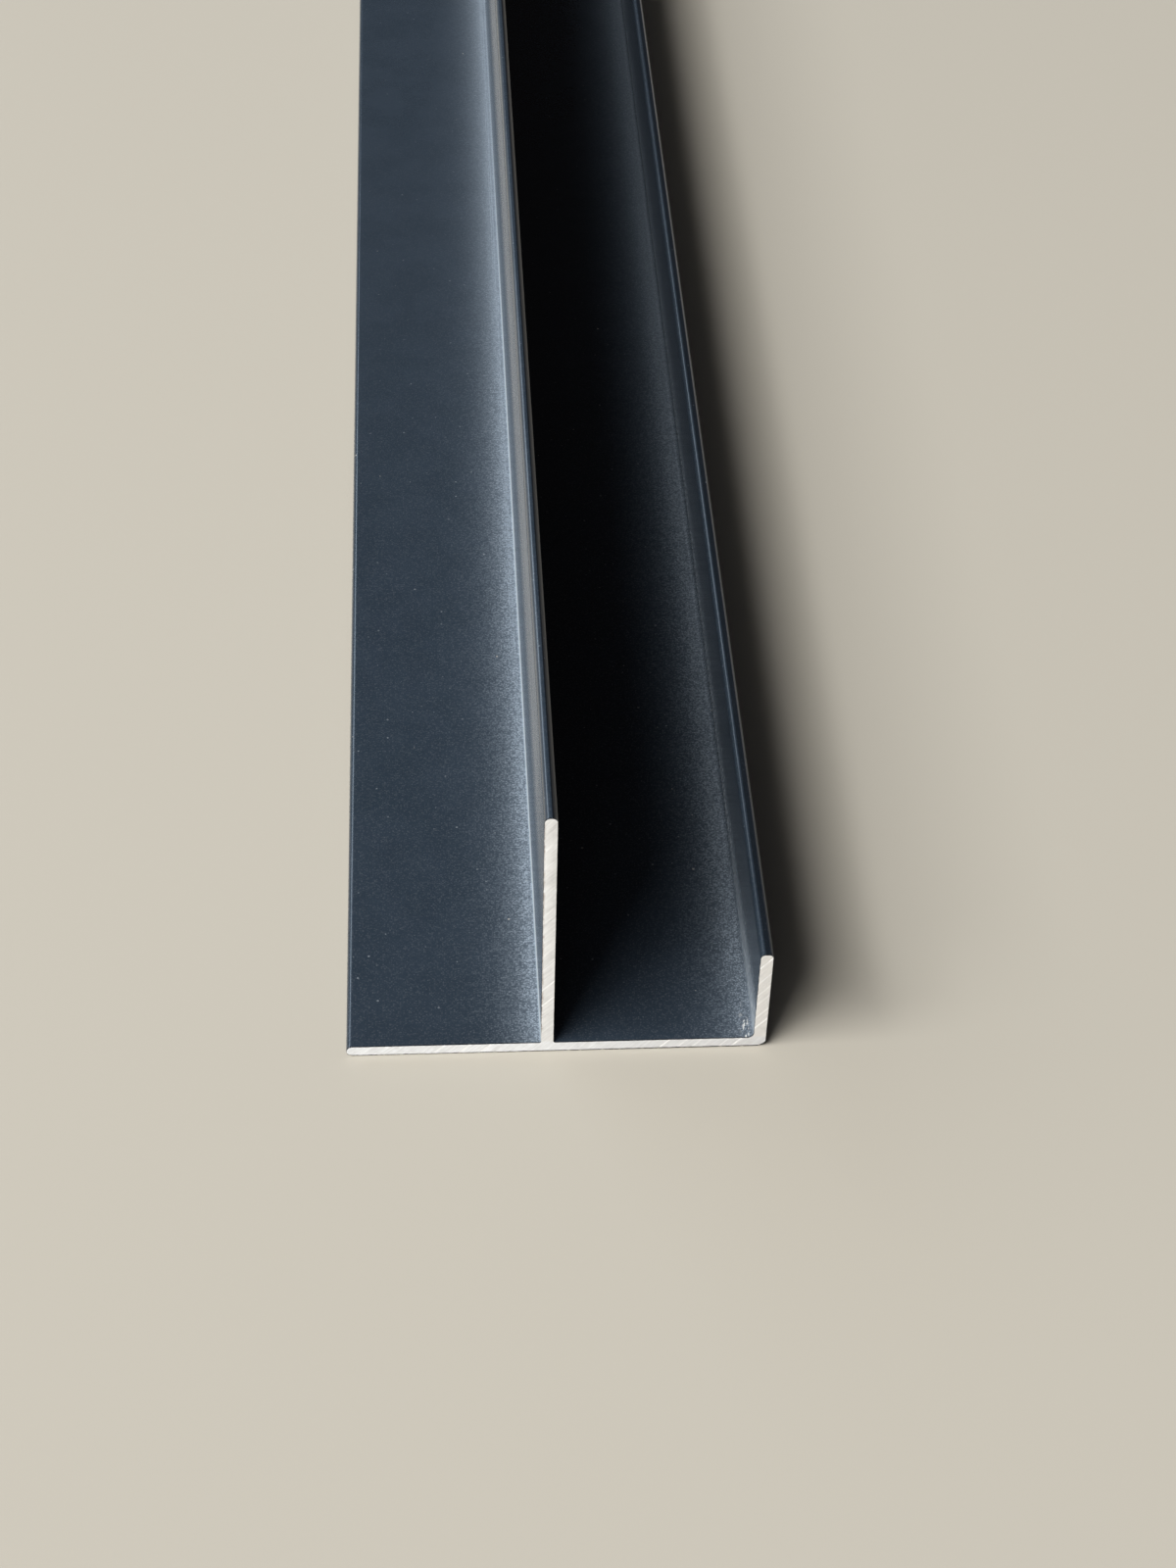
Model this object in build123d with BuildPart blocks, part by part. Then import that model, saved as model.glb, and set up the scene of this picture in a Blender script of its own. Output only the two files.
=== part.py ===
from build123d import *
import os

os.makedirs("parts", exist_ok=True)

# Unequal F-shaped aluminium extrusion, one length of stock with both ends sawn square.
# Frame: the profile lies on its wide spine. Y runs along the length, X across the spine,
# Z up. The origin is the middle of the underside, so the bounding box is centred on it
# in X and Y and starts at Z = 0. All sizes are in millimetres, over the coat.

# Driving dimensions
length = 1000.0          # sold length of the bar
spine_width = 65.0       # across the whole underside
wall = 2.0               # spine, web and lip are the same thickness
web_height = 50.0        # underside to the top of the tall web
lip_height = 20.5        # underside to the top of the short lip
ledge_width = 30.0       # open ledge from the free edge of the spine to the web
# what is left between web and lip is the channel, 31 mm clear

# Corner radii of the die
tip_radius = 0.95        # the top of the web and the free edge of the spine are almost fully round
lip_tip_radius = 0.75    # the top of the lip is flatter
outer_corner_radius = 1.4  # outside corner where the spine turns up into the lip
inner_corner_radius = 1.0  # inside corner of the lip
web_foot_radius = 0.3    # the web meets the spine almost sharply on both sides

# Section positions derived from the sizes above
x_left = -spine_width / 2
x_right = spine_width / 2
x_web_left = x_left + ledge_width
x_web_right = x_web_left + wall
x_lip_inner = x_right - wall
channel_width = x_lip_inner - x_web_right
channel_depth = lip_height - wall

section_points = [
    (x_left, 0),                # 0 underside, free edge
    (x_right, 0),               # 1 underside, outer corner under the lip
    (x_right, lip_height),      # 2 lip top, outside
    (x_lip_inner, lip_height),  # 3 lip top, inside
    (x_lip_inner, wall),        # 4 inside corner of the lip
    (x_web_right, wall),        # 5 web foot, channel side
    (x_web_right, web_height),  # 6 web top, channel side
    (x_web_left, web_height),   # 7 web top, ledge side
    (x_web_left, wall),         # 8 web foot, ledge side
    (x_left, wall),             # 9 top of the free edge
]
corner_radii = [
    (0, tip_radius),
    (1, outer_corner_radius),
    (2, lip_tip_radius),
    (3, lip_tip_radius),
    (4, inner_corner_radius),
    (5, web_foot_radius),
    (6, tip_radius),
    (7, tip_radius),
    (8, web_foot_radius),
    (9, tip_radius),
]

# One solid: the die's section, drawn across the bar and extruded both ways from its middle
with BuildPart() as extrusion_profile:
    with BuildSketch(Plane.XZ) as section:
        with BuildLine() as outline:
            Polyline(*section_points, close=True)
        make_face()
        for index, radius in corner_radii:
            x, z = section_points[index]
            corner = section.vertices().sort_by_distance((x, z, 0))[0]
            fillet(corner, radius=radius)
    extrude(amount=length / 2, both=True)

extrusion_profile.part.label = "extrusion_profile"

section_area = extrusion_profile.part.volume / length
print(f"section area {section_area:.2f} mm2, channel {channel_width:.1f} x {channel_depth:.1f} mm")
print(f"bare weight at 2.70 g/cm3: {extrusion_profile.part.volume * 2.70e-6:.4f} kg")
print(extrusion_profile.part.bounding_box())

export_step(extrusion_profile.part, "parts/extrusion_profile.step")
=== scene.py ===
import bmesh
import bpy
import math
import numpy as np
from mathutils import Matrix, Vector
from mathutils.geometry import delaunay_2d_cdt


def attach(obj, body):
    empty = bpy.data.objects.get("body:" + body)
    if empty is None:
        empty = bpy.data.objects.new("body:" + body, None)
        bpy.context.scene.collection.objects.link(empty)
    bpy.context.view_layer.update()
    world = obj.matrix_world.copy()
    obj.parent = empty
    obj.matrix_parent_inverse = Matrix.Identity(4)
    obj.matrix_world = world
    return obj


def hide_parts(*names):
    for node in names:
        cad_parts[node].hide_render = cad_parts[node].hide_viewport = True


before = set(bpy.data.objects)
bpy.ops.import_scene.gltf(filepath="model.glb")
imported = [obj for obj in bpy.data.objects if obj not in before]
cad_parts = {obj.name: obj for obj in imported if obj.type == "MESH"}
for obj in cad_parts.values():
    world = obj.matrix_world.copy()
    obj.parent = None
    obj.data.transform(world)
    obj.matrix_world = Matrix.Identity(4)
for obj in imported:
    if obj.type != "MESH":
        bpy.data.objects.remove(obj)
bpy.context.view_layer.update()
rng = np.random.default_rng(11)
MM = 0.001

# ---------------------------------------------------------------- camera
# Seen from in front of the sawn end, a little left of the web, looking down at 43 degrees.
PITCH, YAW, ROLL = math.radians(43.148), math.radians(4.245), math.radians(1.780)
EYE = Vector((-17.87, -788.81, 328.11)) * MM
look = Vector((math.sin(YAW) * math.cos(PITCH), math.cos(YAW) * math.cos(PITCH), -math.sin(PITCH)))
side = Vector((math.cos(YAW), -math.sin(YAW), 0.0))
over = side.cross(look)
right = math.cos(ROLL) * side + math.sin(ROLL) * over
up = -math.sin(ROLL) * side + math.cos(ROLL) * over
cam_data = bpy.data.cameras.new("camera")
cam_data.sensor_width = 36.0
cam_data.lens = 2867.7 / 1600.0 * 36.0
cam_data.clip_start, cam_data.clip_end = 0.01, 200.0
cam_data.dof.use_dof = False
camera = bpy.data.objects.new("camera", cam_data)
camera.matrix_world = Matrix((
    (right.x, up.x, -look.x, EYE.x),
    (right.y, up.y, -look.y, EYE.y),
    (right.z, up.z, -look.z, EYE.z),
    (0, 0, 0, 1),
))
bpy.context.collection.objects.link(camera)
bpy.context.scene.camera = camera

# ---------------------------------------------------------------- section
# Sizes of the extrusion in mm, with the coat on. The bar lies along Y from -500 to 500.
HALF = 500.0
XL, XR = -32.5, 32.5
XWL, XWR, XLI = -2.5, -0.5, 30.5
WALL, WEB_TOP, LIP_TOP = 2.0, 50.0, 20.5
COAT = 0.065  # thickness of the powder coat

CORNERS = [
    # x, z, radius, arc steps
    (XL, 0.0, 0.95, 10),
    (XR, 0.0, 1.4, 12),
    (XR, LIP_TOP, 0.75, 9),
    (XLI, LIP_TOP, 0.75, 9),
    (XLI, WALL, 1.0, 9),
    (XWR, WALL, 0.3, 6),
    (XWR, WEB_TOP, 0.95, 11),
    (XWL, WEB_TOP, 0.95, 11),
    (XWL, WALL, 0.3, 6),
    (XL, WALL, 0.95, 10),
]


def outline(step):
    """The section's outline, anticlockwise seen from -Y, as points with outward normals. Straights are cut into pieces of about step mm."""
    n = len(CORNERS)
    arcs = []
    for i in range(n):
        x, z, r, k = CORNERS[i]
        px, pz = CORNERS[i - 1][:2]
        qx, qz = CORNERS[(i + 1) % n][:2]
        a = np.array([px - x, pz - z]); a /= np.linalg.norm(a)
        b = np.array([qx - x, qz - z]); b /= np.linalg.norm(b)
        centre = np.array([x, z]) + r * (a + b)
        convex = (-a[0]) * b[1] - (-a[1]) * b[0] > 0
        pts = []
        for j in range(k + 1):
            t = j / k * math.pi / 2
            # from the tangent point on the incoming side to the one on the outgoing side
            d = -b * math.cos(t) - a * math.sin(t)
            pts.append((centre + r * d, d if convex else -d))
        arcs.append(pts)
    ring = []
    for i in range(n):
        ring += arcs[i]
        p, q = arcs[i][-1][0], arcs[(i + 1) % n][0][0]
        m = max(1, round(np.linalg.norm(q - p) / step))
        ring += [(p + (q - p) * j / m, arcs[i][-1][1]) for j in range(1, m)]
    return np.array([p for p, _ in ring]), np.array([d for _, d in ring])


coarse, coarse_n = outline(2.0)
# The fine outline cuts each long piece of the coarse one again, so that the two can be joined
fine, fine_n, parent = [], [], []
for i in range(len(coarse)):
    p, q = coarse[i], coarse[(i + 1) % len(coarse)]
    cuts = max(1, round(np.linalg.norm(q - p) / 0.22))
    for j in range(cuts):
        w = j / cuts
        d = coarse_n[i] * (1 - w) + coarse_n[(i + 1) % len(coarse)] * w
        fine.append(p + (q - p) * w)
        fine_n.append(d / np.linalg.norm(d))
        parent.append(i)
fine, fine_n, parent = np.array(fine), np.array(fine_n), np.array(parent)
NF, NC = len(fine), len(coarse)


def along(points):
    """Length along the outline at each point, from the first one."""
    gaps = np.linalg.norm(np.roll(points, -1, 0) - points, axis=1)
    return np.concatenate([[0.0], np.cumsum(gaps)])


def ripple(s, total, waves, seed):
    """Smooth random values along the closed outline, about -1 to 1."""
    r = np.random.default_rng(seed)
    out = np.zeros_like(s)
    for w in waves:
        k = max(1, round(total / w))
        a, ph = r.normal(size=4), r.uniform(0, 2 * math.pi, 4)
        for j in range(4):
            out += a[j] * np.sin(2 * math.pi * (k + 3 * j) * s / total + ph[j])
    return out / (1.6 * math.sqrt(len(waves) * 2))


s_fine = along(fine)
TOTAL = s_fine[-1]
s_fine = s_fine[:-1]
s_coarse = along(coarse)[:-1] * TOTAL / along(coarse)[-1]

# ---------------------------------------------------------------- saw marks
# The teeth left nearly straight lines that rise to the right at 48 degrees. A point of the section is placed by s, its
# distance across the lines, and v, its distance along them, from a point in the web. The lines bow a little.
P0X, P0Z = -1.5, 11.4
UX, UZ = 0.743, -0.669
TX, TZ = 0.669, 0.743
BOW = 1.0 / (2 * 500.0)
MARKS = [
    # s, strength, half width in mm
    (-20.7, 0.30, 0.10), (-5.15, 0.55, 0.11), (-2.3, 0.95, 0.12), (0.0, 1.00, 0.12), (1.7, 0.30, 0.10),
    (20.4, 1.00, 0.13), (22.5, 0.60, 0.12), (24.2, 0.50, 0.12), (25.5, 0.30, 0.11), (27.4, 0.45, 0.12), (28.9, 0.95, 0.13),
]
FAR_SHIFT = 7.9  # the far end was cut by the same saw, at another feed


def to_marks(x, z):
    v = (x - P0X) * TX + (z - P0Z) * TZ
    return (x - P0X) * UX + (z - P0Z) * UZ + BOW * v * v, v


def from_marks(s, v):
    w = s - BOW * v * v
    return P0X + w * UX + v * TX, P0Z + w * UZ + v * TZ


def saw_relief(x, z, seed):
    """Depth in mm below the sawn plane, never negative."""
    s, v = to_marks(x, z)
    if seed == 2:
        s = s - FAR_SHIFT
    g = np.random.default_rng(seed)
    h = np.zeros_like(s)
    for s0, strength, width in MARKS:
        fade = 0.8 + 0.2 * np.sin(v * 0.9 + s0 * 7)
        h += 0.034 * strength * fade * np.exp(-(((s - s0) / width) ** 2))
    for _ in range(22):
        w = g.uniform(0.35, 1.3)
        h += g.uniform(0.0003, 0.0012) * (1 + np.sin(2 * math.pi * s / w + g.uniform(0, 6.28) + 2 * np.sin(v * g.uniform(0.05, 0.3))))
    return h


# ---------------------------------------------------------------- mesh of the bar
verts, faces, face_mat, face_uv = [], [], [], []

# Bake layout: the skin is unrolled in two halves of the length, side by side, and the sawn faces lie above it, enlarged
PX = 1.0 / 1024
SKIN = 1.86 * PX  # per mm
HALF_U = [4 * PX, 4 * PX + TOTAL * SKIN + 8 * PX]
SKIN_V0 = 5 * PX
CUT = 7.6 * PX  # per mm


def skin_uv(s, y, half):
    return (HALF_U[half] + s * SKIN, SKIN_V0 + (y + HALF if half == 0 else y) * SKIN)


def add_row(points, y):
    start = len(verts)
    yy = np.broadcast_to(y, len(points))
    verts.extend((p[0], v, p[1]) for p, v in zip(points, yy))
    return start


def add_face(ids, mat, uv):
    faces.append(ids); face_mat.append(mat); face_uv.append(uv)


def band(a, ya, b, yb, s, total, half, n):
    for i in range(n):
        j = (i + 1) % n
        s0, s1 = s[i], s[j] if j else total
        add_face((a + i, a + j, b + j, b + i), 0,
                 (skin_uv(s0, ya, half), skin_uv(s1, ya, half), skin_uv(s1, yb, half), skin_uv(s0, yb, half)))


def stitch(a, ya, b, yb, half, flip):
    """Joins a fine row a to a coarse row b."""
    for i in range(NC):
        ids = [k for k in range(NF) if parent[k] == i]
        nxt = (ids[-1] + 1) % NF
        ss = [s_fine[k] for k in ids] + [s_fine[nxt] if nxt else TOTAL]
        j = (i + 1) % NC
        row = [a + k for k in ids] + [a + nxt]
        uv = [skin_uv(q, ya, half) for q in ss] + [skin_uv(ss[-1], yb, half), skin_uv(ss[0], yb, half)]
        poly = row + [b + j, b + i]
        if flip:
            poly, uv = poly[::-1], uv[::-1]
        add_face(tuple(poly), 0, tuple(uv))


def ease(v, lo, hi):
    """Smooth step from 0 at lo to 1 at hi."""
    q = np.clip((v - lo) / (hi - lo), 0, 1)
    return q * q * (3 - 2 * q)


def lifted(points, normals, amount):
    """The underside stands a hair off the floor next to a cut, where the saw turned up a burr."""
    out = points.copy()
    out[:, 1] += amount * ease(-normals[:, 1], 0.05, 0.7) * (points[:, 1] < 1.0)
    return out


def end(sign):
    """One sawn end, at y = sign * HALF: the metal face, the coat's broken rim, and the first rows of the skin. Returns the row where the long rows begin."""
    seed = 1 if sign < 0 else 2
    y0 = sign * HALF
    half = 0 if sign < 0 else 1
    inward = -sign
    # how far the coat has broken back from the cut, and how thick it is left
    chip = np.clip(ripple(s_fine, TOTAL, (0.9, 1.7, 3.1, 7.3), 20 + seed) - 0.35, 0, 1) * 0.12
    left = COAT * (1 + 0.16 * ripple(s_fine, TOTAL, (0.8, 2.1, 5.2), 30 + seed))
    # the blade left the metal on the ledge side of the web and along the inside of the lip: there it drags over the coat
    drag = ((fine[:, 0] < XWL + 0.01) & (fine[:, 0] > XWL - 0.01) & (fine[:, 1] > 2.5) & (fine[:, 1] < 49)) | (
        (fine[:, 0] < XLI + 0.01) & (fine[:, 0] > XLI - 0.01) & (fine[:, 1] > 3) & (fine[:, 1] < 19.5))
    smear = np.clip(ripple(s_fine, TOTAL, (1.3, 2.4, 4.4), 40 + seed) + 0.1, 0, 1)
    left = np.where(drag, left * (1 - 0.6 * smear), left)
    left = np.clip(left, 0.018, 0.12)
    # along the underside the coat's own rim is drawn far wider than the coat, a dark band that is painted shadow
    # standing in for the contact shadow under the edge
    underside_shadow_rim = ease(-fine_n[:, 1], 0.1, 0.8) * (fine[:, 1] < 1.0)
    left += underside_shadow_rim * (0.125 + 0.085 * ease(fine[:, 0], -20.0, 25.0) + 0.016 * ripple(s_fine, TOTAL, (1.1, 2.7, 6.1), 60 + seed))
    inner = fine - fine_n * left[:, None]
    relief_outer = saw_relief(fine[:, 0], fine[:, 1], seed)

    # points inside the metal, on a lattice that follows the saw marks, denser across them than along them
    ax, az = 0.09, 0.33
    sa, va = to_marks(inner[:, 0], inner[:, 1])
    loop = np.stack([sa / ax, va / az], 1)
    g0, g1 = loop.min(0), loop.max(0)
    gr = np.random.default_rng(50 + seed)
    us, vs = np.meshgrid(np.arange(math.floor(g0[0]), g1[0] + 1), np.arange(math.floor(g0[1]), g1[1] + 1), indexing="ij")
    us = us + gr.uniform(-0.12, 0.12, us.shape)
    vs = vs + gr.uniform(-0.3, 0.3, vs.shape) + 0.5 * (np.floor(us) % 2)
    px, pz = from_marks(us.ravel() * ax, vs.ravel() * az)
    m = COAT + 0.07  # clear of the rim
    low = m + 0.16
    inside = (
        ((px > XL + m) & (px < XR - m) & (pz > low) & (pz < WALL - m))
        | ((px > XWL + m) & (px < XWR - m) & (pz > low) & (pz < WEB_TOP - m))
        | ((px > XLI + m) & (px < XR - m) & (pz > low) & (pz < LIP_TOP - m))
    )
    for cx, cz, rad, _ in CORNERS:  # not past the rounded outer corners
        if rad < 0.5:
            continue
        sx = 1 if cx in (XL, XWL, XLI) else -1
        sz = 1 if cz == 0.0 else -1
        if (cx, cz) == (XLI, WALL):
            continue
        qx, qz = cx + sx * rad, cz + sz * rad
        beyond = ((px - qx) * sx < 0) & ((pz - qz) * sz < 0)
        inside &= ~(beyond & (np.hypot(px - qx, pz - qz) > rad - (low if cz == 0.0 else m)))
    us, vs = us.ravel()[inside], vs.ravel()[inside]

    cdt_pts = [Vector(p) for p in loop] + [Vector(p) for p in np.stack([us, vs], 1)]
    edges = [(i, (i + 1) % NF) for i in range(NF)]

    def nearest(x, z):
        return int(np.argmin(np.hypot(inner[:, 0] - x, inner[:, 1] - z)))

    # web and lip stand on the spine along these two lines, which also part the bake's islands
    parting = [(nearest(XWL, WALL), nearest(XWR, WALL)), (nearest(XLI, WALL), nearest(XR, WALL))]
    edges += parting
    out_v, out_e, out_f, orig_v, _, _ = delaunay_2d_cdt(cdt_pts, edges, [list(range(NF))], 1, 1e-6)
    pos = np.array([from_marks(v[0] * ax, v[1] * az) for v in out_v])
    of_loop = {}
    for k, o in enumerate(orig_v):
        for q in o:
            if q < NF:
                of_loop[q] = k
    assert len(of_loop) == NF
    dip = saw_relief(pos[:, 0], pos[:, 1], seed)
    base = len(verts)
    verts.extend((p[0], y0 + inward * d, p[1]) for p, d in zip(pos, dip))

    def region(x, z):
        if z > WALL - 0.02 and XWL - 1 < x < XWR + 1:
            return 1
        if z > WALL - 0.02 and x > XLI - 1:
            return 2
        return 0

    row_v = 1.0 - (6 + 19 * (0 if sign < 0 else 1)) * PX  # top edge of this end's rows

    def cut_uv(x, z, part):
        if part == 0:  # the spine
            return (6 * PX + (x - XL) * CUT, row_v - 16 * PX + z * CUT)
        if part == 1:  # the web, laid down
            return (6 * PX + 65 * CUT + 6 * PX + (z - 1.9) * CUT, row_v - 16 * PX + (x - XWL) * CUT)
        third = 1.0 - (6 + 38) * PX
        return (6 * PX + (0 if sign < 0 else 24 * CUT) + (z - 1.9) * CUT, third - 16 * PX + (x - XLI) * CUT)

    for f in out_f:
        c = pos[list(f)].mean(0)
        part = region(*c)
        ids = [base + k for k in f]
        uv = [cut_uv(*pos[k], part) for k in f]
        if sign > 0:
            ids, uv = ids[::-1], uv[::-1]
        add_face(tuple(ids), 1, tuple(uv))

    # rim of the coat, seen end on, then its broken outer edge
    rim = add_row(lifted(fine - fine_n * (0.012 + 0.10 * chip[:, None]), fine_n, 0.06), y0 + inward * (relief_outer + 0.006 + chip))
    skin_a = add_row(lifted(fine, fine_n, 0.055), y0 + inward * (0.06 + relief_outer + chip * 1.25))
    for i in range(NF):
        j = (i + 1) % NF
        s0, s1 = s_fine[i], s_fine[j] if j else TOTAL
        e0, e1 = y0, y0 + inward * 0.5
        q = (skin_uv(s0, e0, half), skin_uv(s1, e0, half), skin_uv(s1, e1, half), skin_uv(s0, e1, half))
        ids = (base + of_loop[i], base + of_loop[j], rim + j, rim + i)
        ids2 = (rim + i, rim + j, skin_a + j, skin_a + i)
        if sign > 0:
            ids, ids2, q = ids[::-1], ids2[::-1], q[::-1]
        add_face(ids, 0, q)
        add_face(ids2, 0, q)
    row_b = add_row(lifted(fine, fine_n, 0.02), y0 + inward * 0.45)
    row_c = add_row(fine, y0 + inward * 1.0)
    row_d = add_row(coarse, y0 + inward * 2.2)
    e = [y0, y0 + inward * 0.45, y0 + inward * 1.0, y0 + inward * 2.2]
    if sign < 0:
        band(skin_a, e[0], row_b, e[1], s_fine, TOTAL, half, NF)
        band(row_b, e[1], row_c, e[2], s_fine, TOTAL, half, NF)
    else:
        band(row_b, e[1], skin_a, e[0], s_fine, TOTAL, half, NF)
        band(row_c, e[2], row_b, e[1], s_fine, TOTAL, half, NF)
    stitch(row_c, e[2], row_d, e[3], half, sign > 0)
    return row_d, e[3]


near, y_near = end(-1)
far, y_far = end(1)
stations = [-494.0, -485.0, -470.0, -440.0, -400.0, -350.0, -300.0, -250.0, -200.0, -150.0, -100.0, -50.0, 0.0]
stations += [-y for y in stations[-2::-1]]
last, y_last = near, y_near
for y in stations:
    row = add_row(coarse, y)
    band(last, y_last, row, y, s_coarse, TOTAL, 0 if y <= 0 else 1, NC)
    last, y_last = row, y
band(last, y_last, far, y_far, s_coarse, TOTAL, 1, NC)

mesh = bpy.data.meshes.new("extrusion_profile_bar")
mesh.from_pydata([(x * MM, y * MM, z * MM) for x, y, z in verts], [], [f for f in faces])
mesh.polygons.foreach_set("material_index", np.array(face_mat, np.int32))
uv_layer = mesh.uv_layers.new(name="OFBake")
flat = np.array([c for f in face_uv for c in f], np.float32)
uv_layer.data.foreach_set("uv", flat.ravel())
mesh.validate()
mesh.update()
bar = bpy.data.objects.new("extrusion_profile_bar", mesh)
bpy.context.collection.objects.link(bar)

bm = bmesh.new()
bm.from_mesh(mesh)
bmesh.ops.recalc_face_normals(bm, faces=bm.faces)
bm.to_mesh(mesh)
bm.free()
# smooth over the roundings, sharp where the saw cut the section
mesh.polygons.foreach_set("use_smooth", np.ones(len(mesh.polygons), bool))
mesh.set_sharp_from_angle(angle=math.radians(38))

# ---------------------------------------------------------------- materials


FILM_FACE, FILM_SHEEN, PALE_SHEEN, FILM_ROUGH = 0.14, 0.26, 0.33, 0.5
GRAIN, FLAT_AMP, DRY_AMP, ROUGH = 3.7, 0.019, 1.45, 0.19


class Graph:
    """Small helper that adds and wires shader nodes."""

    def __init__(self, name):
        self.mat = bpy.data.materials.new(name)
        self.mat.use_nodes = True
        self.t = self.mat.node_tree
        self.bsdf = next(n for n in self.t.nodes if n.type == "BSDF_PRINCIPLED")

    def node(self, kind, **values):
        n = self.t.nodes.new(kind)
        for k, v in values.items():
            setattr(n, k, v)
        return n

    def link(self, a, b):
        self.t.links.new(a, b)
        return b

    def math(self, op, a, b=None, c=None, clamp=False):
        n = self.node("ShaderNodeMath", operation=op, use_clamp=clamp)
        for i, v in enumerate((a, b, c)):
            if v is None:
                continue
            if isinstance(v, (int, float)):
                n.inputs[i].default_value = v
            else:
                self.link(v, n.inputs[i])
        return n.outputs[0]

    def smooth(self, value, lo, hi, to_lo=0.0, to_hi=1.0):
        n = self.node("ShaderNodeMapRange", interpolation_type="SMOOTHSTEP")
        self.link(value, n.inputs["Value"])
        n.inputs["From Min"].default_value, n.inputs["From Max"].default_value = lo, hi
        n.inputs["To Min"].default_value, n.inputs["To Max"].default_value = to_lo, to_hi
        return n.outputs[0]

    def place(self, scale=(1, 1, 1), shift=(0, 0, 0)):
        n = self.node("ShaderNodeMapping")
        n.inputs["Scale"].default_value = scale
        n.inputs["Location"].default_value = shift
        self.link(self.mm, n.inputs["Vector"])
        return n.outputs[0]

    def noise(self, vector, scale, detail=2.0, rough=0.5, distort=0.0):
        n = self.node("ShaderNodeTexNoise")
        n.inputs["Scale"].default_value, n.inputs["Detail"].default_value = scale, detail
        n.inputs["Roughness"].default_value, n.inputs["Distortion"].default_value = rough, distort
        self.link(vector, n.inputs["Vector"])
        return n.outputs["Fac"]

    def voronoi(self, vector, scale, out="Distance", feature="F1", randomness=1.0):
        n = self.node("ShaderNodeTexVoronoi", feature=feature)
        n.inputs["Scale"].default_value, n.inputs["Randomness"].default_value = scale, randomness
        self.link(vector, n.inputs["Vector"])
        return n

    def mix(self, fac, a, b, blend="MIX"):
        n = self.node("ShaderNodeMix", data_type="RGBA", blend_type=blend)
        for key, v in ((0, fac), (6, a), (7, b)):
            if isinstance(v, (int, float)):
                n.inputs[key].default_value = v
            elif isinstance(v, tuple):
                n.inputs[key].default_value = (*v, 1.0)
            else:
                self.link(v, n.inputs[key])
        return n.outputs[2]

    def coords(self):
        tc = self.node("ShaderNodeTexCoord")
        n = self.node("ShaderNodeVectorMath", operation="SCALE")
        self.link(tc.outputs["Object"], n.inputs[0])
        n.inputs["Scale"].default_value = 1000.0
        self.mm = n.outputs[0]
        sep = self.node("ShaderNodeSeparateXYZ")
        self.link(self.mm, sep.inputs[0])
        self.x, self.y, self.z = sep.outputs

    def bump(self, height, strength, distance_mm, normal=None):
        n = self.node("ShaderNodeBump")
        n.inputs["Strength"].default_value = strength
        n.inputs["Distance"].default_value = distance_mm * MM
        self.link(height, n.inputs["Height"])
        if normal is not None:
            self.link(normal, n.inputs["Normal"])
        return n.outputs[0]


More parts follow.
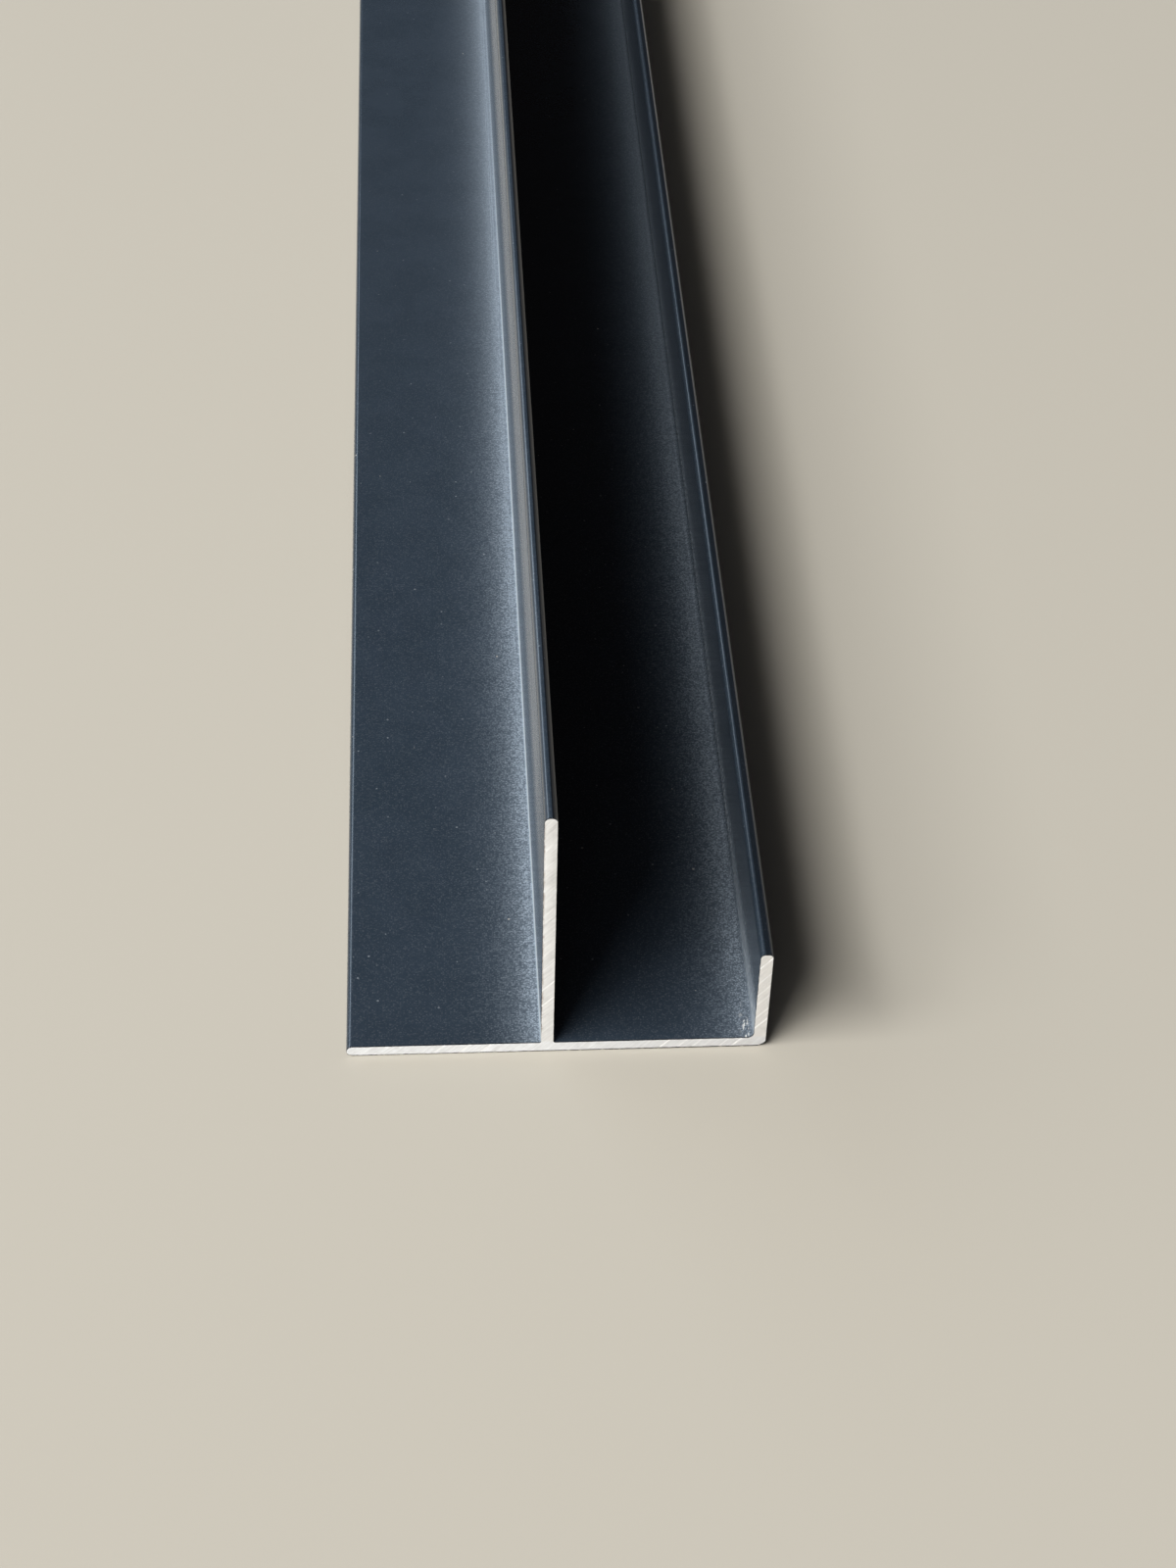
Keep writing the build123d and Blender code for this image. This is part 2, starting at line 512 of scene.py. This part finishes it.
def powder_coat():
    g = Graph("powder_coat_anthracite")
    g.coords()
    x, y, z = g.x, g.y, g.z

    def mul(*values):
        out = values[0]
        for v in values[1:]:
            out = g.math("MULTIPLY", out, v)
        return out

    def fade(d, length):
        return g.math("POWER", math.e, g.math("MULTIPLY", d, -1.0 / length))

    run = g.math("ADD", y, HALF)                       # mm from the near cut
    above = g.smooth(z, 1.2, 1.7)                      # not on the underside
    left_of_web = g.smooth(x, -2.1, -1.9, 1.0, 0.0)
    in_channel = mul(g.smooth(x, -1.1, -0.9), g.smooth(x, 31.1, 31.3, 1.0, 0.0))
    to_web = g.math("MAXIMUM", g.math("SUBTRACT", XWL, x), 0.0)
    to_lip = g.math("MAXIMUM", g.math("SUBTRACT", XLI, x), 0.0)
    rise = g.math("MAXIMUM", g.math("SUBTRACT", z, WALL), 0.0)

    # every grain of powder is a small cell with its own shade
    cells = g.voronoi(g.place(), GRAIN)
    shades = g.node("ShaderNodeSeparateColor")
    g.link(cells.outputs["Color"], shades.inputs[0])
    grit = mul(shades.outputs[0], g.smooth(cells.outputs["Distance"], 0.25, 0.75, 1.25, 0.25))

    # the coat is thin and dry in the inside corners, where the powder did not flow out: a haze of fine pale grains
    on_ledge = mul(fade(to_web, 2.9), g.smooth(to_web, 0.1, 1.0, 0.58, 0.88), g.smooth(run, 55.0, 120.0, 1.0, 1.12))
    on_web = mul(fade(rise, 2.5), 1.17)
    dry_foot = mul(g.math("MAXIMUM", mul(on_ledge, g.smooth(rise, 0.1, 0.4, 1.0, 0.0)), mul(on_web, g.smooth(rise, 0.1, 0.4))), above, left_of_web)
    on_floor = mul(fade(to_lip, 3.2), g.smooth(to_lip, 0.2, 2.6, 0.75, 1.14), g.smooth(to_lip, 0.1, 0.85, 0.66, 1.0), g.smooth(run, 90.0, 320.0, 0.80, 0.55),
                   g.smooth(run, 4.0, 20.0, 0.90, 1.10), g.smooth(run, 38.0, 70.0, 1.0, 0.91))
    # on the lip the haze ends in a broken pale line a little above the corner
    broken = g.noise(g.place((1.0, 0.42, 1.0)), 1.3, 3.0, 0.6)
    thick = g.noise(g.place((1.0, 0.55, 1.0)), 1.5, 2.0, 0.6)
    line = mul(g.smooth(g.math("ADD", rise, mul(thick, -0.8)), 0.4, 1.0), g.smooth(g.math("ADD", rise, mul(thick, -1.6)), 1.2, 4.2, 1.0, 0.0), g.smooth(grit, 0.10, 0.60, 0.25, 1.25),
               g.smooth(thick, 0.34, 0.60, 0.5, 1.0), g.smooth(to_lip, 0.5, 1.0, 1.0, 0.0), g.smooth(run, 5.0, 48.0, 0.42, 0.19), g.smooth(run, 60.0, 300.0, 1.0, 0.4))
    # coarser grains make up most of that line, and single ones stand above it
    lumps = g.voronoi(g.place((1.0, 1.0, 0.55)), 1.45)
    lump = g.node("ShaderNodeSeparateColor")
    g.link(lumps.outputs["Color"], lump.inputs[0])
    crowd = g.math("ADD", lump.outputs[0], g.smooth(rise, 2.4, 7.5, 0.25, -0.30))
    strewn = mul(g.smooth(crowd, 0.40, 0.80), g.smooth(lumps.outputs["Distance"], 0.24, 0.56, 1.0, 0.0), g.smooth(rise, 0.9, 1.6), g.smooth(rise, 6.0, 9.5, 1.0, 0.0),
                 g.smooth(to_lip, 0.5, 1.0, 1.0, 0.0), g.smooth(run, 5.0, 60.0, 0.8, 0.60), g.smooth(run, 60.0, 260.0, 1.0, 0.25))
    on_lip = mul(g.smooth(g.math("ADD", mul(rise, g.smooth(run, 5.0, 48.0, 0.74, 1.0)), g.smooth(broken, 0.3, 0.7, -0.35, 0.35)), 2.3, 7.0, 0.48, 0.0), g.smooth(rise, 0.0, 1.7, 0.30, 1.0),
                 g.smooth(broken, 0.32, 0.62, 0.80, 1.10), g.smooth(run, 8.0, 55.0, 2.7, 1.0), g.smooth(run, 50.0, 260.0, 1.0, 0.5),
                 g.smooth(to_lip, 0.5, 1.0, 1.0, 0.0))
    dry_lip = mul(g.math("MAXIMUM", mul(on_floor, g.smooth(rise, 0.3, 0.9, 1.0, 0.0)), on_lip), above, in_channel)
    dry = g.math("ADD", dry_foot, dry_lip)

    grain = g.noise(g.place(), 2.6, 1.0, 0.5)
    cloud = g.noise(g.place(), 0.11, 3.0, 0.6)
    streak = g.noise(g.place((2.2, 0.018, 2.2)), 1.0, 3.0, 0.6)
    calm = g.smooth(run, 90.0, 240.0, 1.0, 0.35)

    base = g.mix(g.smooth(cloud, 0.35, 0.65), (0.0180, 0.0272, 0.0394), (0.0208, 0.0306, 0.0441))
    base = g.mix(g.math("ADD", mul(grit, grit, calm, FLAT_AMP), g.math("MULTIPLY", g.math("SUBTRACT", 1.0, calm), 0.33 * FLAT_AMP)), base, (0.94, 0.97, 1.0), "ADD")
    dry_amount = mul(dry, g.math("ADD", 1.0, mul(g.math("SUBTRACT", grit, 0.36), calm, DRY_AMP)))
    base = g.mix(g.math("MULTIPLY", dry_amount, 1.0, clamp=True), base, (0.211, 0.251, 0.298))
    base = g.mix(mul(line, above, in_channel), base, (0.40, 0.45, 0.49))
    base = g.mix(mul(strewn, above, in_channel), base, (0.66, 0.71, 0.75))
    # right in the corner the powder stayed pale on the lowest strip of the web
    pale = mul(g.smooth(rise, -0.1, 0.2), g.smooth(rise, 1.3, 5.2, 1.0, 0.0), above, left_of_web, g.smooth(run, 150.0, 300.0, 0.92, 0.0),
               g.smooth(to_web, 0.0, 0.22, 1.0, 0.0))
    base = g.mix(mul(pale, g.smooth(grain, 0.2, 0.6, 0.82, 1.0)), base, (0.255, 0.318, 0.368))

    # a faint film of warm dust on the upper half of the web's ledge side, wiped along the bar; its mask also drives the
    # sheen below, a painted grazing reflection on that face
    wiped = g.noise(g.place((0.3, 0.012, 0.85)), 1.0, 4.0, 0.72)
    dust_film_and_sheen = mul(g.smooth(z, 19.0, 36.0), g.smooth(z, 45.5, 49.8, 1.0, 0.50), left_of_web, g.smooth(wiped, 0.32, 0.62, 0.58, 1.0),
               g.smooth(grain, 0.3, 0.7, 0.93, 1.0), g.smooth(run, 4.0, 30.0, 0.62, 1.0))
    base = g.mix(mul(dust_film_and_sheen, FILM_FACE), base, (0.252, 0.254, 0.246))
    # dust and dry powder show most along the surface; this sheen also paints the bright grazing reflection along the
    # web's face
    g.link(g.math("ADD", mul(dust_film_and_sheen, FILM_SHEEN), mul(pale, PALE_SHEEN)), g.bsdf.inputs["Sheen Weight"])
    g.bsdf.inputs["Sheen Roughness"].default_value = FILM_ROUGH
    g.bsdf.inputs["Sheen Tint"].default_value = (1.0, 0.985, 0.95, 1.0)
    # painted shade on the lip's inner side above the haze, where the web shades it; the flat of the lip's top is darker
    # as well
    painted_shade_lip = mul(g.smooth(rise, 3.5, 9.0), in_channel, g.smooth(run, 6.0, 50.0, 0.2, 1.0), g.smooth(to_lip, 0.3, 0.7, 1.0, 0.0), g.smooth(z, 18.2, 19.8, 1.0, 0.0))
    flat_top = mul(g.smooth(z, 20.36, 20.46), g.smooth(x, 31.15, 31.35))
    base = g.mix(mul(painted_shade_lip, 0.66, g.smooth(z, 21.0, 21.5, 1.0, 0.0)), base, (0.0025, 0.0052, 0.0118))
    base = g.mix(mul(flat_top, 0.7, g.smooth(z, 21.0, 21.5, 1.0, 0.0)), base, (0.004, 0.005, 0.007))
    # the lip's inner side is paler again right behind the cut
    base = g.mix(mul(g.smooth(rise, 2.0, 6.0), in_channel, g.smooth(to_lip, 0.3, 0.7, 1.0, 0.0), g.smooth(z, 18.2, 19.8, 1.0, 0.0), g.smooth(run, 4.0, 58.0, 0.075, 0.0)), base, (0.211, 0.251, 0.298))
    # painted shade on the right-hand roundings of the web's top and the lip's top, the sides away from the main light
    base = g.mix(mul(g.smooth(z, 49.0, 49.3), g.smooth(x, -1.45, -1.2), 0.95), base, (0.004, 0.005, 0.007))
    base = g.mix(mul(g.smooth(z, 19.4, 19.9), g.smooth(x, 32.05, 32.3), g.smooth(z, 21.0, 21.5, 1.0, 0.0), 0.85), base, (0.004, 0.005, 0.007))

    # loose specks of dust, far apart
    dust = g.voronoi(g.place(), 0.16)
    size = g.node("ShaderNodeSeparateColor")
    g.link(dust.outputs["Color"], size.inputs[0])
    speck = g.math("LESS_THAN", dust.outputs["Distance"], g.math("MULTIPLY", size.outputs[0], 0.034))
    base = g.mix(g.math("MULTIPLY", speck, 0.75), base, (0.33, 0.32, 0.30))
    # finer pale grains that stick out of the coat
    grit_cells = g.voronoi(g.place(), 0.62)
    kind = g.node("ShaderNodeSeparateColor")
    g.link(grit_cells.outputs["Color"], kind.inputs[0])
    pale_grain = mul(g.math("LESS_THAN", grit_cells.outputs["Distance"], g.math("MULTIPLY", kind.outputs[0], 0.13)), g.smooth(kind.outputs[1], 0.3, 1.0, 0.0, 0.36), calm)
    base = g.mix(pale_grain, base, (0.30, 0.33, 0.36))
    # a few short rub marks across the ledge behind the cut
    rubbed = g.noise(g.place((0.26, 1.7, 1.0)), 1.0, 3.0, 0.6)
    rub = mul(g.smooth(rubbed, 0.56, 0.72), g.smooth(x, -15.0, -11.0), left_of_web, g.smooth(run, 3.0, 6.0), g.smooth(run, 24.0, 46.0, 1.0, 0.0),
              g.smooth(rise, 0.1, 0.4, 1.0, 0.0), above)
    base = g.mix(mul(rub, 0.085), base, (0.30, 0.34, 0.38))
    # white chips where the blade ran out beside the lip
    ragged = g.noise(g.place((1.3, 0.5, 1.3), (3.1, 7.7, 1.9)), 1.7, 2.0, 0.6)
    chips = mul(g.smooth(ragged, 0.52, 0.60), g.smooth(to_lip, 0.45, 0.8), g.smooth(to_lip, 1.1, 2.1, 1.0, 0.0), g.smooth(run, 1.5, 8.5, 1.0, 0.0), g.smooth(rise, 0.4, 1.6, 1.0, 0.0), in_channel, above)
    base = g.mix(mul(chips, 0.85), base, (0.62, 0.63, 0.62))
    # painted shade along the coat's broken edge: the last quarter millimetre before the cut is darker
    cut_edge_shade = g.smooth(g.math("ABSOLUTE", y), HALF - 0.26, HALF - 0.10)
    base = g.mix(g.math("MULTIPLY", cut_edge_shade, 0.85), base, (0.008, 0.009, 0.011))
    g.link(base, g.bsdf.inputs["Base Color"])

    rough = g.math("ADD", ROUGH, g.math("MULTIPLY", g.math("SUBTRACT", streak, 0.5), 0.08))
    # the roundings that face away from the main light were rubbed matt
    matt = g.math("MAXIMUM", mul(g.smooth(x, 32.17, 32.34), g.smooth(z, 19.5, 19.8)), mul(g.smooth(x, -1.25, -1.0), g.smooth(z, 49.0, 49.3)))
    rough = g.math("ADD", rough, mul(matt, g.smooth(z, 21.0, 48.0, 0.38, 0.30)))
    rough = g.math("ADD", rough, g.math("MULTIPLY", dry, 0.12), clamp=True)
    g.link(rough, g.bsdf.inputs["Roughness"])
    g.bsdf.inputs["Specular IOR Level"].default_value = 0.5
    g.bsdf.inputs["Metallic"].default_value = 0.0

    peel = g.noise(g.place(), 0.9, 2.0, 0.5)
    height = g.math("ADD", g.math("MULTIPLY", grain, 0.5), g.math("MULTIPLY", peel, 0.5))
    height = g.math("MULTIPLY", height, g.math("ADD", 0.3, g.math("MULTIPLY", dry, 0.7)))
    n1 = g.bump(height, 0.35, 0.06)
    n2 = g.bump(streak, 0.25, 0.03, n1)
    g.link(n2, g.bsdf.inputs["Normal"])
    return g.mat


def sawn_metal():
    g = Graph("sawn_aluminium")
    g.coords()
    x, y, z = g.x, g.y, g.z
    # the same s and v as the saw marks in the mesh
    dx, dz = g.math("SUBTRACT", x, P0X), g.math("SUBTRACT", z, P0Z)
    v = g.math("ADD", g.math("MULTIPLY", dx, TX), g.math("MULTIPLY", dz, TZ))
    w = g.math("ADD", g.math("MULTIPLY", dx, UX), g.math("MULTIPLY", dz, UZ))
    s = g.math("ADD", w, g.math("MULTIPLY", g.math("MULTIPLY", v, v), BOW))
    s = g.math("SUBTRACT", s, g.math("MULTIPLY", g.math("GREATER_THAN", y, 0.0), FAR_SHIFT))
    comb = g.node("ShaderNodeCombineXYZ")
    g.link(s, comb.inputs[0])
    g.link(g.math("MULTIPLY", v, 0.07), comb.inputs[1])
    fine_marks = g.noise(comb.outputs[0], 2.6, 3.0, 0.6)
    mottle = g.noise(g.place(), 0.55, 3.0, 0.55)
    # painted light and reflection: the sawn face is lighter and cooler towards the ledge's end, darker and warmer
    # towards the lip, the web a little darker and warmer, the lip's end a little lighter again
    colour = g.mix(g.smooth(x, -12.0, XR), (0.955, 0.975, 1.000), (0.788, 0.794, 0.805))
    colour = g.mix(g.smooth(z, 1.9, 2.6), colour, (0.955, 0.935, 0.905), "MULTIPLY")
    colour = g.mix(g.math("MULTIPLY", g.smooth(z, 1.9, 2.6), g.smooth(x, 29.5, 30.4)), colour, (1.09, 1.085, 1.07), "MULTIPLY")
    colour = g.mix(g.smooth(fine_marks, 0.3, 0.75, 0.30, 0.0), colour, (0.5, 0.5, 0.5))
    colour = g.mix(g.smooth(mottle, 0.45, 0.75, 0.0, 0.22), colour, (0.5, 0.49, 0.48))
    # along the web's ledge side the blade dragged some coat over the metal
    dragged = g.math("MULTIPLY", g.smooth(g.noise(g.place((1.0, 1.0, 0.8), (5.3, 0.0, 2.2)), 1.2, 3.0, 0.6), 0.35, 0.6), g.smooth(g.math("ADD", x, g.math("MULTIPLY", mottle, -0.5)), -2.70, -2.42, 1.0, 0.0))
    colour = g.mix(g.math("MULTIPLY", dragged, g.smooth(z, 3.0, 6.0, 0.0, 0.75)), colour, (0.44, 0.37, 0.33))
    # painted glint: the metal is brighter along the saw marks, whose grooves are in the mesh
    mark_glint = None
    for s0, strength, width in MARKS:
        d = g.math("ABSOLUTE", g.math("SUBTRACT", s, s0))
        one = g.smooth(d, 0.04, width * 1.7, strength, 0.0)
        mark_glint = one if mark_glint is None else g.math("MAXIMUM", mark_glint, one)
    uneven = g.smooth(g.noise(g.place(), 1.1, 2.0, 0.5), 0.3, 0.6, 0.55, 1.0)
    colour = g.mix(g.math("MULTIPLY", mark_glint, uneven), colour, (1.0, 1.0, 1.0))
    g.link(colour, g.bsdf.inputs["Base Color"])
    g.bsdf.inputs["Metallic"].default_value = 0.35
    g.link(g.math("ADD", 0.70, g.math("MULTIPLY", fine_marks, 0.20)), g.bsdf.inputs["Roughness"])
    g.link(g.bump(fine_marks, 0.2, 0.015), g.bsdf.inputs["Normal"])
    return g.mat


mesh.materials.append(powder_coat())
mesh.materials.append(sawn_metal())
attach(bar, "root")
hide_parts("extrusion_profile")

# ---------------------------------------------------------------- floor
BACKGROUND = (0.62, 0.60, 0.56, 1.0)
floor_mesh = bpy.data.meshes.new("floor")
S = 30.0
floor_mesh.from_pydata([(-S, -S, 0), (S, -S, 0), (S, S, 0), (-S, S, 0)], [], [(0, 1, 2, 3)])
floor = bpy.data.objects.new("floor", floor_mesh)
bpy.context.collection.objects.link(floor)
gf = Graph("pale_floor")
gf.bsdf.inputs["Base Color"].default_value = (0.410, 0.385, 0.334, 1.0)
gf.bsdf.inputs["Roughness"].default_value = 0.9
gf.bsdf.inputs["Specular IOR Level"].default_value = 0.2
# far from the bar the floor turns into the plain background, like a sweep of studio paper
gf.coords()
away = gf.node("ShaderNodeVectorMath", operation="LENGTH")
gf.link(gf.mm, away.inputs[0])
paper = gf.node("ShaderNodeEmission")
paper.inputs["Color"].default_value = BACKGROUND
sweep = gf.node("ShaderNodeMixShader")
gf.link(gf.smooth(away.outputs["Value"], 1300.0, 3200.0), sweep.inputs[0])
gf.link(gf.bsdf.outputs[0], sweep.inputs[1])
gf.link(paper.outputs[0], sweep.inputs[2])
gf.link(sweep.outputs[0], next(n for n in gf.t.nodes if n.type == "OUTPUT_MATERIAL").inputs["Surface"])
gf.mat.cycles.emission_sampling = "NONE"
floor_mesh.materials.append(gf.mat)

# ---------------------------------------------------------------- light


def panel(name, centre, facing, wide, high, watts, colour):
    """A rectangular soft light that stands upright unless it faces up or down; wide is its level side."""
    data = bpy.data.lights.new(name, "AREA")
    data.shape, data.size, data.size_y = "RECTANGLE", wide, high
    data.energy, data.color = watts, colour
    o = bpy.data.objects.new(name, data)
    o.location = centre
    o.rotation_mode = "QUATERNION"
    o.rotation_quaternion = (-Vector(facing)).normalized().to_track_quat("Z", "Y")
    o.visible_camera = False
    bpy.context.collection.objects.link(o)
    return o


# The daylight comes from the ledge side and from in front of the sawn end. Each part is a rectangle of the sky seen from
# the cut: level angle from the bar's left towards its front, and height, both in degrees, and its share of the light.
FROM = Vector((0.0, -0.47, 0.0))
R_SKY = 6.0
DAYLIGHT = 4.47  # on the floor
RIGHT_WATTS = 30.0
for name, a0, a1, e0, e1, share in [
    ("sky_left", 2, 24, 30, 48, 0.33),
    ("sky_front_left", 24, 46, 38, 50, 0.28),
    ("sky_high", 28, 52, 50, 62, 0.11),
    ("sky_front", 46, 66, 36, 52, 0.21),
    ("sky_ahead", 66, 84, 24, 44, 0.02),
    ("sky_back_left", -38, -2, 14, 38, 0.06),
]:
    a, e = math.radians((a0 + a1) / 2), math.radians((e0 + e1) / 2)
    way = Vector((-math.cos(a) * math.cos(e), -math.sin(a) * math.cos(e), math.sin(e)))
    wide = 2 * R_SKY * math.tan(math.radians(a1 - a0) / 2) * math.cos(e)
    high = 2 * R_SKY * math.tan(math.radians(e1 - e0) / 2)
    panel(name, FROM + R_SKY * way, -way, wide, high, share * DAYLIGHT * math.pi * R_SKY ** 2 / math.sin(e), (1.0, 0.99, 0.97))
panel("far_right", (1.75, 2.2, 0.55), (-1.75, -2.7, -0.55), 1.4, 0.9, 3.3, (1.0, 0.95, 0.88))
panel("back_left", (-1.50, 1.55, 1.38), (1.50, -2.05, -1.38), 1.5, 0.60, 11.0, (0.72, 0.86, 1.0))
# a weak light on the bar's right side only, which the first view doesn't see
shade_side = panel("right_side", (3.0, -0.1, 0.35), (-3.0, 0.1, -0.35), 1.6, 0.6, RIGHT_WATTS, (0.97, 0.99, 1.0))
lit = bpy.data.collections.new("lit_from_the_right")
lit.objects.link(bar)
shade_side.light_linking.receiver_collection = lit

world = bpy.data.worlds.new("surroundings")
bpy.context.scene.world = world
world.use_nodes = True
wt = world.node_tree
wt.nodes.clear()
out = wt.nodes.new("ShaderNodeOutputWorld")
path = wt.nodes.new("ShaderNodeLightPath")
seen = wt.nodes.new("ShaderNodeBackground")
seen.inputs["Color"].default_value = BACKGROUND
dim = wt.nodes.new("ShaderNodeBackground")
dim.inputs["Color"].default_value = (0.018, 0.0165, 0.0175, 1.0)
pick = wt.nodes.new("ShaderNodeMixShader")
wt.links.new(path.outputs["Is Camera Ray"], pick.inputs[0])
wt.links.new(dim.outputs[0], pick.inputs[1])
wt.links.new(seen.outputs[0], pick.inputs[2])
wt.links.new(pick.outputs[0], out.inputs[0])

view = bpy.context.scene.view_settings
view.view_transform = "Standard"
view.look = "None"
view.exposure = 0.0
